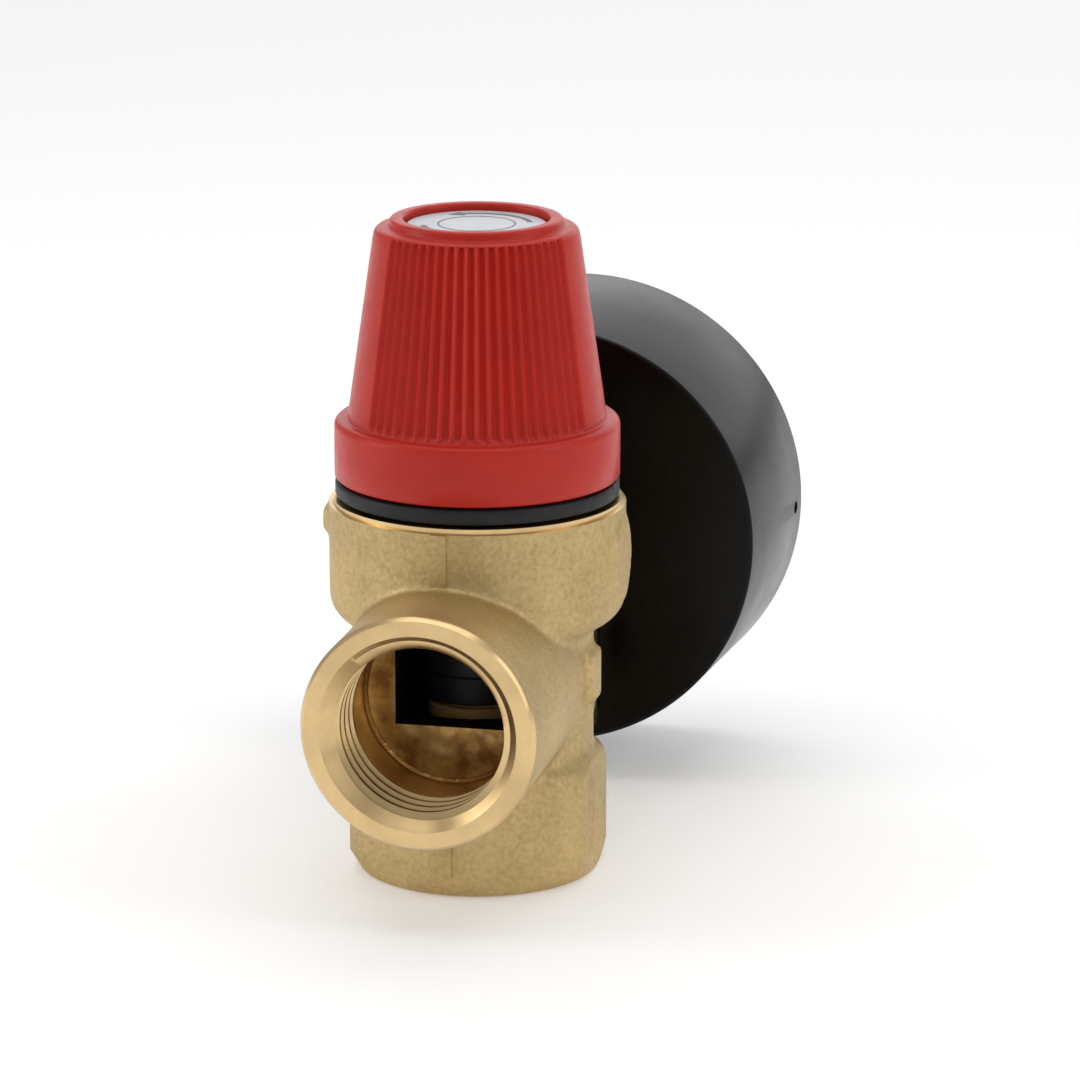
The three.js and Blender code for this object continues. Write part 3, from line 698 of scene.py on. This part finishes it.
    def thread(self, s, start):
        """One helical groove along Z from a starting height."""
        r_in, r_out = s.thread_minor - 0.5, s.thread_major
        wide, narrow = s.thread_pitch * 0.94, s.thread_pitch * 0.16
        groove = turned("thread", closed([
            (r_in, 0), (r_out, (wide - narrow) / 2), (r_out, (wide + narrow) / 2), (r_in, wide),
        ]), 3)
        keep(groove, lambda spot: abs(spot.y) < 0.001 and spot.x > 0)
        apply(
            groove, "SCREW", angle=math.tau, screw_offset=s.thread_pitch * MM, iterations=self.THREAD_TURNS,
            steps=64, render_steps=64, use_merge_vertices=True, merge_threshold=WELD,
        )
        return place(capped(groove), (0, 0, start))

    def execute(self, context):
        s = sizes()
        body = self.weld(s)
        self.face(s, body)
        self.ease(s, body)
        self.open_chamber(body)
        self.open_outlet(s, body)
        self.open_inlet(s, body)
        self.open_port(body)
        self.cut(body, to_outlet(self.thread(s, s.outlet_reach - self.THREAD_DEPTH)), "outlet_cut")
        self.cut(body, self.thread(s, 1.2), "upright_cut")
        smooth(body, 38)
        finish_piece(body, "valve", "forged_brass", "valve_body")
        return {"FINISHED"}


class VALVE_OT_bonnet(bpy.types.Operator):
    """Model the black bonnet, whose flange shows as a ring under the knob"""

    bl_idname = "valve.bonnet"
    bl_label = "Bonnet"

    BORE_R, SPIGOT_R, FLANGE_R, TOWER_R = 8.6, 13.4, 15.6, 10.2
    FOOT, FLANGE_FOOT, FLANGE_TOP, TOP = 35.5, 43.3, 45.05, 67.7
    EDGE = 0.35

    def execute(self, context):
        low_edge = arc(self.FLANGE_R, self.FLANGE_FOOT + self.EDGE, self.EDGE, -90, 0, 3)
        high_edge = arc(self.FLANGE_R, self.FLANGE_TOP - self.EDGE, self.EDGE, 0, 90, 3)
        piece = turned("bonnet_cover", closed([
            (self.BORE_R, self.FOOT), (self.SPIGOT_R - 0.3, self.FOOT), (self.SPIGOT_R, self.FOOT + 0.4),
            (self.SPIGOT_R, self.FLANGE_FOOT), (self.FLANGE_R, self.FLANGE_FOOT), *low_edge, *high_edge,
            (self.TOWER_R, self.FLANGE_TOP), (self.TOWER_R, 62), (9.6, 63), (9.6, self.TOP),
            (self.BORE_R, self.TOP),
        ]), 160)
        painted(piece, finish("black_nylon"))
        smooth(piece)
        finish_piece(piece, "valve", "black_nylon", "bonnet")
        return {"FINISHED"}


class VALVE_OT_knob(bpy.types.Operator):
    """Model the red knob with its two groups of ribs"""

    bl_idname = "valve.knob"
    bl_label = "Knob"

    AROUND = 512
    RIB = math.tau / 64
    RIBS = 20
    FACING = math.radians(-76.64)
    FOOT, SHOULDER = 52.0, 73.4
    FOOT_R, SHOULDER_R = 14.5, 11.4
    MOUTH, BORE_R = 45.35, 14.0
    LIP_R, LIP_Z, LIP_ROUND = 8.5, 74.25, 0.4
    STEM_FLOOR, STEM_R = 69.5, 2.1

    def cone(self, z):
        """The radius of the ribbed cone at a height."""
        return self.FOOT_R + (self.SHOULDER_R - self.FOOT_R) * (z - self.FOOT) / (self.SHOULDER - self.FOOT)

    def groove(self, angle, z):
        """How deep the surface is cut here, from 0 to 1, in one of the two groups of ribs."""
        for facing in (self.FACING, self.FACING + math.pi):
            off = (angle - facing + math.pi) % math.tau - math.pi
            if abs(off) < self.RIB * self.RIBS / 2:
                depth = 0.5 + 0.5 * math.cos(math.tau * (off / self.RIB + 0.5))
                run_in = min(1.0, max(0.0, (z - self.FOOT - 0.15) / 0.5))
                return depth**0.9 * run_in
        return 0.0

    def profile(self, s):
        """The knob's section, up the outside and down the inside."""
        skirt = [
            (s.skirt_r - 1.6, self.MOUTH), (s.skirt_r - 0.25, self.MOUTH), (s.skirt_r, self.MOUTH + 0.25),
            (s.skirt_r + 0.02, 48.5), *arc(s.skirt_r - 0.8, 51.2, 0.8, 0, 90, 6), (14.75, self.FOOT),
            (self.cone(self.FOOT) + 0.05, self.FOOT + 0.05),
        ]
        rise = [(self.cone(z), z) for z in (52.15, 52.4, 52.7, 53.2, 56, 59, 62, 65, 68, 70.5, 72.0, 72.5)]
        top = [
            *arc(10.55, 72.75, 0.9, 0, 90, 6), (9.95, 73.62), (9.75, 73.8), (9.65, 74.2),
            *arc(9.25, self.LIP_Z, self.LIP_ROUND, 10, 90, 4), (8.55, self.LIP_Z + self.LIP_ROUND),
            *arc(self.LIP_R, self.LIP_Z, self.LIP_ROUND, 90, 180, 4),
        ]
        inside = [
            (8.1, 73.15), (4.2, 73.15), (4.2, 71.4), (self.STEM_R, 71.4), (self.STEM_R, self.STEM_FLOOR),
            (9.2, self.STEM_FLOOR), (9.9, 68), (11.9, 52), (self.BORE_R, 50), (self.BORE_R, self.MOUTH),
        ]
        return closed([*skirt, *rise, *top, *inside])

    def execute(self, context):
        s = sizes()
        piece = turned("knob_shell", self.profile(s), self.AROUND)
        for vertex in piece.data.vertices:
            x, y, z = vertex.co / MM
            r = math.hypot(x, y)
            if z > self.FOOT + 0.06 and r > self.cone(z) - 0.95 and z < 73.3:
                share = self.groove(math.atan2(y, x), z) * min(1.0, max(0.0, (r - 10.3) / 0.7))
                k = (r - s.rib_depth * share) / r
                vertex.co.x, vertex.co.y = x * k * MM, y * k * MM
        painted(piece, finish("red_plastic"))
        smooth(piece, 50)
        finish_piece(piece, "knob", "red_plastic", "control_knob")
        return {"FINISHED"}


class VALVE_OT_label(bpy.types.Operator):
    """Model the foil disc in the knob's top with plain turning arrows"""

    bl_idname = "valve.label"
    bl_label = "Knob label"

    TOP, DISC_R = 73.85, 7.7
    PRINT = (TOP + 0.01, TOP + 0.035)
    ARROW_R, ARROW_WIDTH, TIP_R = 6.0, 0.6, 1.1
    SWEEP, TIP_AHEAD = 100, 4

    def arrow(self, start):
        """A curved arrow from a starting angle in degrees."""
        half = self.ARROW_WIDTH / 2
        sweep = ring("arrow", self.ARROW_R - half, self.ARROW_R + half, *self.PRINT, 96)
        first, last = math.radians(start), math.radians(self.SWEEP)
        capped(keep(sweep, lambda spot: (math.atan2(spot.y, spot.x) - first) % math.tau < last))
        settle()
        bpy.ops.mesh.primitive_cylinder_add(vertices=3, radius=self.TIP_R * MM, depth=0.025 * MM)
        tip = bpy.context.object
        turn = start + self.SWEEP + self.TIP_AHEAD
        end = math.radians(turn)
        middle = sum(self.PRINT) / 2
        place(tip, (self.ARROW_R * math.cos(end), self.ARROW_R * math.sin(end), middle), (0, 0, turn))
        return joined(sweep, tip)

    def execute(self, context):
        disc = turned("label_disc", [
            (0, self.TOP - 0.4), (self.DISC_R, self.TOP - 0.4), (self.DISC_R + 0.05, self.TOP - 0.05),
            (self.DISC_R, self.TOP), (0, self.TOP),
        ], 128)
        painted(disc, finish("label_foil"))
        smooth(disc)
        finish_piece(disc, "knob", "label_foil", "knob_label")
        marks = joined(self.arrow(200), self.arrow(20), ring("ring", 4.2, 4.35, *self.PRINT, 96))
        marks.name = "label_marks"
        painted(marks, finish("label_print"))
        finish_piece(marks, "knob", "label_foil")
        return {"FINISHED"}


class VALVE_OT_seat(bpy.types.Operator):
    """Model the obturator, its seal and screw, which show through the sockets"""

    bl_idname = "valve.seat"
    bl_label = "Obturator and seal"

    HEAD_R, POCKET_R, GUIDE_R, COLLAR_R = 6.7, 5.3, 6.45, 8.2
    FOOT, POCKET_TOP, COLLAR_TOP = 20.1, 21.9, 32.1
    SCREW_R, SCREW_FOOT = 2.6, 18.0

    def holder(self):
        piece = turned("obturator", [
            (0, self.POCKET_TOP), (self.POCKET_R, self.POCKET_TOP), (self.POCKET_R, self.FOOT + 0.1),
            (self.POCKET_R + 0.15, self.FOOT), (self.HEAD_R - 0.2, self.FOOT), (self.HEAD_R, self.FOOT + 0.2),
            (self.HEAD_R, 23.2), (self.GUIDE_R, 23.4), (self.GUIDE_R, 29.0), (8.0, 30.1),
            (self.COLLAR_R, 30.4), (self.COLLAR_R, self.COLLAR_TOP), (0, self.COLLAR_TOP),
        ], 96)
        painted(piece, finish("black_nylon"))
        smooth(piece)
        finish_piece(piece, "stem", "black_nylon", "obturator_holder")

    def seal(self):
        piece = turned("seal_disc", closed([(1.5, 19.7), (4.8, 19.7), (5, 19.9), (5, 21.6), (1.5, 21.6)]), 96)
        painted(piece, finish("rubber_seal"))
        smooth(piece)
        finish_piece(piece, "stem", "rubber_seal", "seat_seal")

    def screw(self):
        foot = self.SCREW_FOOT
        piece = turned("seal_fixing", [
            (0, foot + 0.4), (1.2, foot + 0.4), (1.5, foot + 0.1), (2.2, foot),
            *arc(2.2, foot + 0.4, 0.4, -90, 0, 3), (self.SCREW_R, 19.4), (1.1, 19.4), (1.1, 24.7), (0, 24.7),
        ], 48)
        boolean(piece, box("slot", (6, 0.6, 1.2), (0, 0, foot + 0.2)))
        painted(piece, finish("spring_steel"))
        smooth(piece)
        finish_piece(piece, "stem", "spring_steel", "seal_screw")

    def execute(self, context):
        self.holder()
        self.seal()
        self.screw()
        return {"FINISHED"}


class VALVE_OT_gauge(bpy.types.Operator):
    """Model the gauge's case, window, dial and pointer"""

    bl_idname = "valve.gauge"
    bl_label = "Gauge"

    CASE_R, BACK_R, WALL, DEPTH = 26.85, 25.43, 1.6, 25.5
    FACE_Z, NEEDLE_Z = 16.0, 18.1
    PRINT_Z = FACE_Z + 0.02
    SCALE_R, NUMBER_R = 20.6, 13.8
    FULL, STEPS_PER_BAR = 4, 10
    ZERO_AT, SCALE_SWEEP = 225, 270

    def case(self):
        side = self.CASE_R - self.WALL
        front = self.DEPTH
        tub = turned("case_shell", [
            (0, 0), (24.95, 0), *arc(self.BACK_R - 0.4, 0.4, 0.4, -90, 0, 4), (26.1, 12.5),
            *arc(self.CASE_R - 0.5, front - 0.5, 0.5, 0, 90, 5), (25.9, front), (side - 0.6, front),
            (side - 0.9, 25.2), (side - 0.9, 24.4), (side, 24), (side, 22.1), (side - 1.4, 22.1),
            (side - 1.4, 20.5), (23.83, 18.9), (23.83, 2), (0, 2),
        ], 192)
        boolean(tub, place(rod("entry", 5.6, -1, 3, 64), (0, -PORT_DROP, 0)))
        boolean(tub, place(rod("vent", 0.75, 0, 3, 24), (-29.1, -0.5, 22.2), (0, 90, 0)))
        to_gauge(painted(tub, finish("case_plastic")))
        smooth(tub)
        finish_piece(tub, "valve", "case_plastic", "gauge_case")

    def window(self):
        glass = turned("window_disc", [(0, 22.4), (24.9, 22.4), (24.95, 23.6), (24.8, 23.7), (0, 23.7)], 128)
        to_gauge(painted(glass, finish("clear_window")))
        smooth(glass)
        finish_piece(glass, "valve", "clear_window", "gauge_window")

    def tick(self, step):
        """One line of the scale, longer and wider at each bar and half bar."""
        inner, width = 19.2, 0.18
        if step % self.STEPS_PER_BAR == 0:
            inner, width = 17.0, 0.5
        elif step % (self.STEPS_PER_BAR // 2) == 0:
            inner, width = 18.4, 0.32
        mark = box("tick", (self.SCALE_R - inner, width, 0.02), ((inner + self.SCALE_R) / 2, 0, 0))
        angle = self.ZERO_AT - self.SCALE_SWEEP * step / (self.FULL * self.STEPS_PER_BAR)
        return place(mark, (0, 0, self.PRINT_Z), (0, 0, angle))

    def word(self, text, size, x, y):
        """Raised print on the dial."""
        settle()
        bpy.ops.object.text_add(location=(0, 0, 0))
        word = bpy.context.object
        word.data.body, word.data.size = text, size * MM
        word.data.align_x, word.data.align_y = "CENTER", "CENTER"
        word.data.extrude = 0.01 * MM
        word.data.resolution_u = 3
        bpy.ops.object.convert(target="MESH")
        return place(bpy.context.object, (x, y, self.PRINT_Z))

    def number(self, bar):
        a = math.radians(self.ZERO_AT - self.SCALE_SWEEP * bar / self.FULL)
        return self.word(str(bar), 4.2, self.NUMBER_R * math.cos(a), self.NUMBER_R * math.sin(a))

    def dial(self):
        face = ring("dial_plate", 2.4, 22.6, self.FACE_Z - 0.5, self.FACE_Z)
        to_gauge(painted(face, finish("dial_white")))
        smooth(face)
        finish_piece(face, "valve", "dial_white", "gauge_dial")
        marks = [self.tick(step) for step in range(self.FULL * self.STEPS_PER_BAR + 1)]
        marks += [self.number(bar) for bar in range(self.FULL + 1)]
        marks.append(self.word("bar", 3.2, 0, -7.5))
        rim = ring("rim_line", self.SCALE_R, self.SCALE_R + 0.3, self.PRINT_Z - 0.01, self.PRINT_Z + 0.01)
        scale = joined(rim, *marks)
        scale.name = "dial_scale"
        to_gauge(painted(scale, finish("dial_print")))
        finish_piece(scale, "valve", "dial_white")

    def bar(self, name, length, width, middle, past, factor):
        """A flat bar of the pointer, widened or narrowed by a factor past a point of its length."""
        bar = box(name, (length, width, 0.35), (middle, 0, self.NEEDLE_Z))
        for vertex in bar.data.vertices:
            if abs(vertex.co.x) > past * MM:
                vertex.co.y *= factor
        return bar

    def pointer(self):
        hub = turned("needle", closed([
            (0.62, 17.6), (2, 17.6), (2.2, 17.8), (2.2, 18.4), (1.8, 18.7), (0.62, 18.7),
        ]), 48)
        blade = self.bar("blade", 16.8, 1.2, 9.6, 15, 0.22)
        tail = self.bar("tail", 5.6, 1.6, -4.2, 5, 1.5)
        needle = place(joined(hub, blade, tail), turn=(0, 0, self.ZERO_AT))
        to_gauge(painted(needle, finish("dial_print")))
        smooth(needle)
        finish_piece(needle, "pointer", "pointer_black", "gauge_pointer")

    def execute(self, context):
        self.case()
        self.window()
        self.dial()
        self.pointer()
        return {"FINISHED"}


class VALVE_OT_gauge_stem(bpy.types.Operator):
    """Model the gauge's brass stem with its wrench square, and the washer under it"""

    bl_idname = "valve.gauge_stem"
    bl_label = "Gauge stem"

    NECK_R, SHANK_R, PASSAGE_R = 5.2, 5.7, 1.4
    FOOT = -19.4

    def stem(self):
        square = rounded(box("stem_square", (14, 14, 8.2), (0, 0, -4.7)), 0.5, 3)
        outline = turned("outline", [
            (0, -9), (8.2, -9), (9.4, -7.9), (9.4, -1.5), (8.6, -0.5), (0, -0.5),
        ], 96)
        boolean(square, outline, "INTERSECT")
        neck = turned("stem_neck", [
            (0, self.FOOT), (5.1, self.FOOT), (self.SHANK_R, self.FOOT + 0.7), (self.SHANK_R, -10),
            (self.NECK_R, -9.6), (self.NECK_R, 0.6), (5.0, 3), (0, 3),
        ], 96)
        boolean(square, neck, "UNION")
        flange = rounded(box("flange", (17.8, 7.4, 2.7), (-1.0, -0.4, 3.65)), 0.3, 2)
        boolean(square, flange, "UNION")
        riser = place(box("riser", (3.4, 2.6, 4), (0, 0, 0)), (-9.5, 1.8, 5.9), (0, 0, 146))
        boolean(square, riser, "UNION")
        boolean(square, rod("passage", self.PASSAGE_R, -20, 2.4, 32))
        to_gauge(painted(square, finish("turned_brass")), 0, -PORT_DROP)
        smooth(square)
        finish_piece(square, "valve", "turned_brass", "gauge_stem")

    def washer(self):
        seal = turned("stem_seal", closed([
            (6.1, -9.48), (7.5, -9.48), (7.6, -9.3), (7.5, -9.12), (6.1, -9.12),
        ]), 96)
        to_gauge(painted(seal, finish("rubber_seal")), 0, -PORT_DROP)
        smooth(seal)
        finish_piece(seal, "valve", "rubber_seal", "stem_washer")

    def execute(self, context):
        self.stem()
        self.washer()
        return {"FINISHED"}


class VALVE_OT_inner_finishes(bpy.types.Operator):
    """Give every remaining frame piece its own finish"""

    bl_idname = "valve.inner_finishes"
    bl_label = "Inner finishes"

    def execute(self, context):
        record = frame["record"]
        slots = {row["node"]: row["material_slot"] for row in record["subparts"]}
        for node, piece in frame["nodes"].items():
            name = "dial_print" if slots[node] == "pointer_black" else slots[node]
            painted(piece, finish(name))
        return {"FINISHED"}


class VALVE_OT_stage(bpy.types.Operator):
    """Set out the pale floor, the soft lights and the camera"""

    bl_idname = "valve.stage"
    bl_label = "Stage"

    CAMERA_AT = (128.05, -528.09, 178.82)
    CAMERA_TURN = (75.437, 0.0, 12.890)
    LENS = 166.29

    LAMPS = (
        ("overhead", (0, 60, 620), (0, 0, 30), (620, 620), 1.5),
        ("left_box", (-520, -160, 240), (0, 0, 35), (300, 420), 0.8),
        ("right_box", (520, -60, 280), (0, 10, 35), (300, 420), 0.6),
        ("back_sweep", (0, 1300, 560), (0, 0, 60), (1900, 900), 4.5),
    )

    def lamp(self, name, at, aim, size, power):
        """A soft rectangular light; places and sizes in millimetres, power in watts."""
        settle()
        bpy.ops.object.light_add(type="AREA", location=Vector(at) * MM)
        lamp = bpy.context.object
        lamp.name = name
        lamp.data.shape, lamp.data.size, lamp.data.size_y = "RECTANGLE", size[0] * MM, size[1] * MM
        lamp.data.energy = power
        aim_line = Vector(aim) * MM - lamp.location
        lamp.rotation_euler = aim_line.to_track_quat("-Z", "Y").to_euler()

    def execute(self, context):
        scene = context.scene
        settle()
        bpy.ops.mesh.primitive_plane_add(size=6, location=(0, 0, -0.2 * MM))
        floor = context.object
        floor.name = "floor"
        made = Recipe("floor", (0.9, 0.9, 0.9), 0.75)
        made.set(Emission_Color=(1, 1, 1, 1), Emission_Strength=0.24)
        painted(floor, made.material)
        for lamp in self.LAMPS:
            self.lamp(*lamp)

        world = scene.world or bpy.data.worlds.new("studio")
        scene.world = world
        world.use_nodes = True
        background = world.node_tree.nodes["Background"]
        background.inputs["Color"].default_value = (1, 1, 1, 1)
        background.inputs["Strength"].default_value = 0.42

        settle()
        bpy.ops.object.camera_add(location=Vector(self.CAMERA_AT) * MM)
        camera = context.object
        camera.rotation_euler = [math.radians(a) for a in self.CAMERA_TURN]
        camera.data.lens = self.LENS
        camera.data.sensor_width = 36
        camera.data.clip_start, camera.data.clip_end = 0.01, 20
        scene.camera = camera
        scene.view_settings.view_transform = "Standard"
        return {"FINISHED"}


class VALVE_PT_panel(bpy.types.Panel):
    """The valve's pieces, sizes and colours"""

    bl_label = "Pressure relief valve"
    bl_idname = "VALVE_PT_panel"
    bl_space_type = "VIEW_3D"
    bl_region_type = "UI"
    bl_category = "Valve"

    def draw(self, context):
        layout = self.layout
        for step in STEPS:
            layout.operator(step.bl_idname)
        for group in (context.scene.valve_sizes, context.scene.valve_colours):
            column = layout.column()
            for key in group.__annotations__:
                column.prop(group, key)


STEPS = (
    VALVE_OT_forging, VALVE_OT_bonnet, VALVE_OT_knob, VALVE_OT_label, VALVE_OT_seat, VALVE_OT_gauge,
    VALVE_OT_gauge_stem, VALVE_OT_inner_finishes, VALVE_OT_stage,
)
CLASSES = (ValveSizes, ValveColours, *STEPS, VALVE_PT_panel)


def register():
    for made in CLASSES:
        bpy.utils.register_class(made)
    bpy.types.Scene.valve_sizes = bpy.props.PointerProperty(type=ValveSizes)
    bpy.types.Scene.valve_colours = bpy.props.PointerProperty(type=ValveColours)


def unregister():
    del bpy.types.Scene.valve_sizes, bpy.types.Scene.valve_colours
    for made in reversed(CLASSES):
        bpy.utils.unregister_class(made)


def main():
    register()
    for step in STEPS:
        group, action = step.bl_idname.split(".")
        getattr(getattr(bpy.ops, group), action)()


if __name__ == "__main__":
    main()
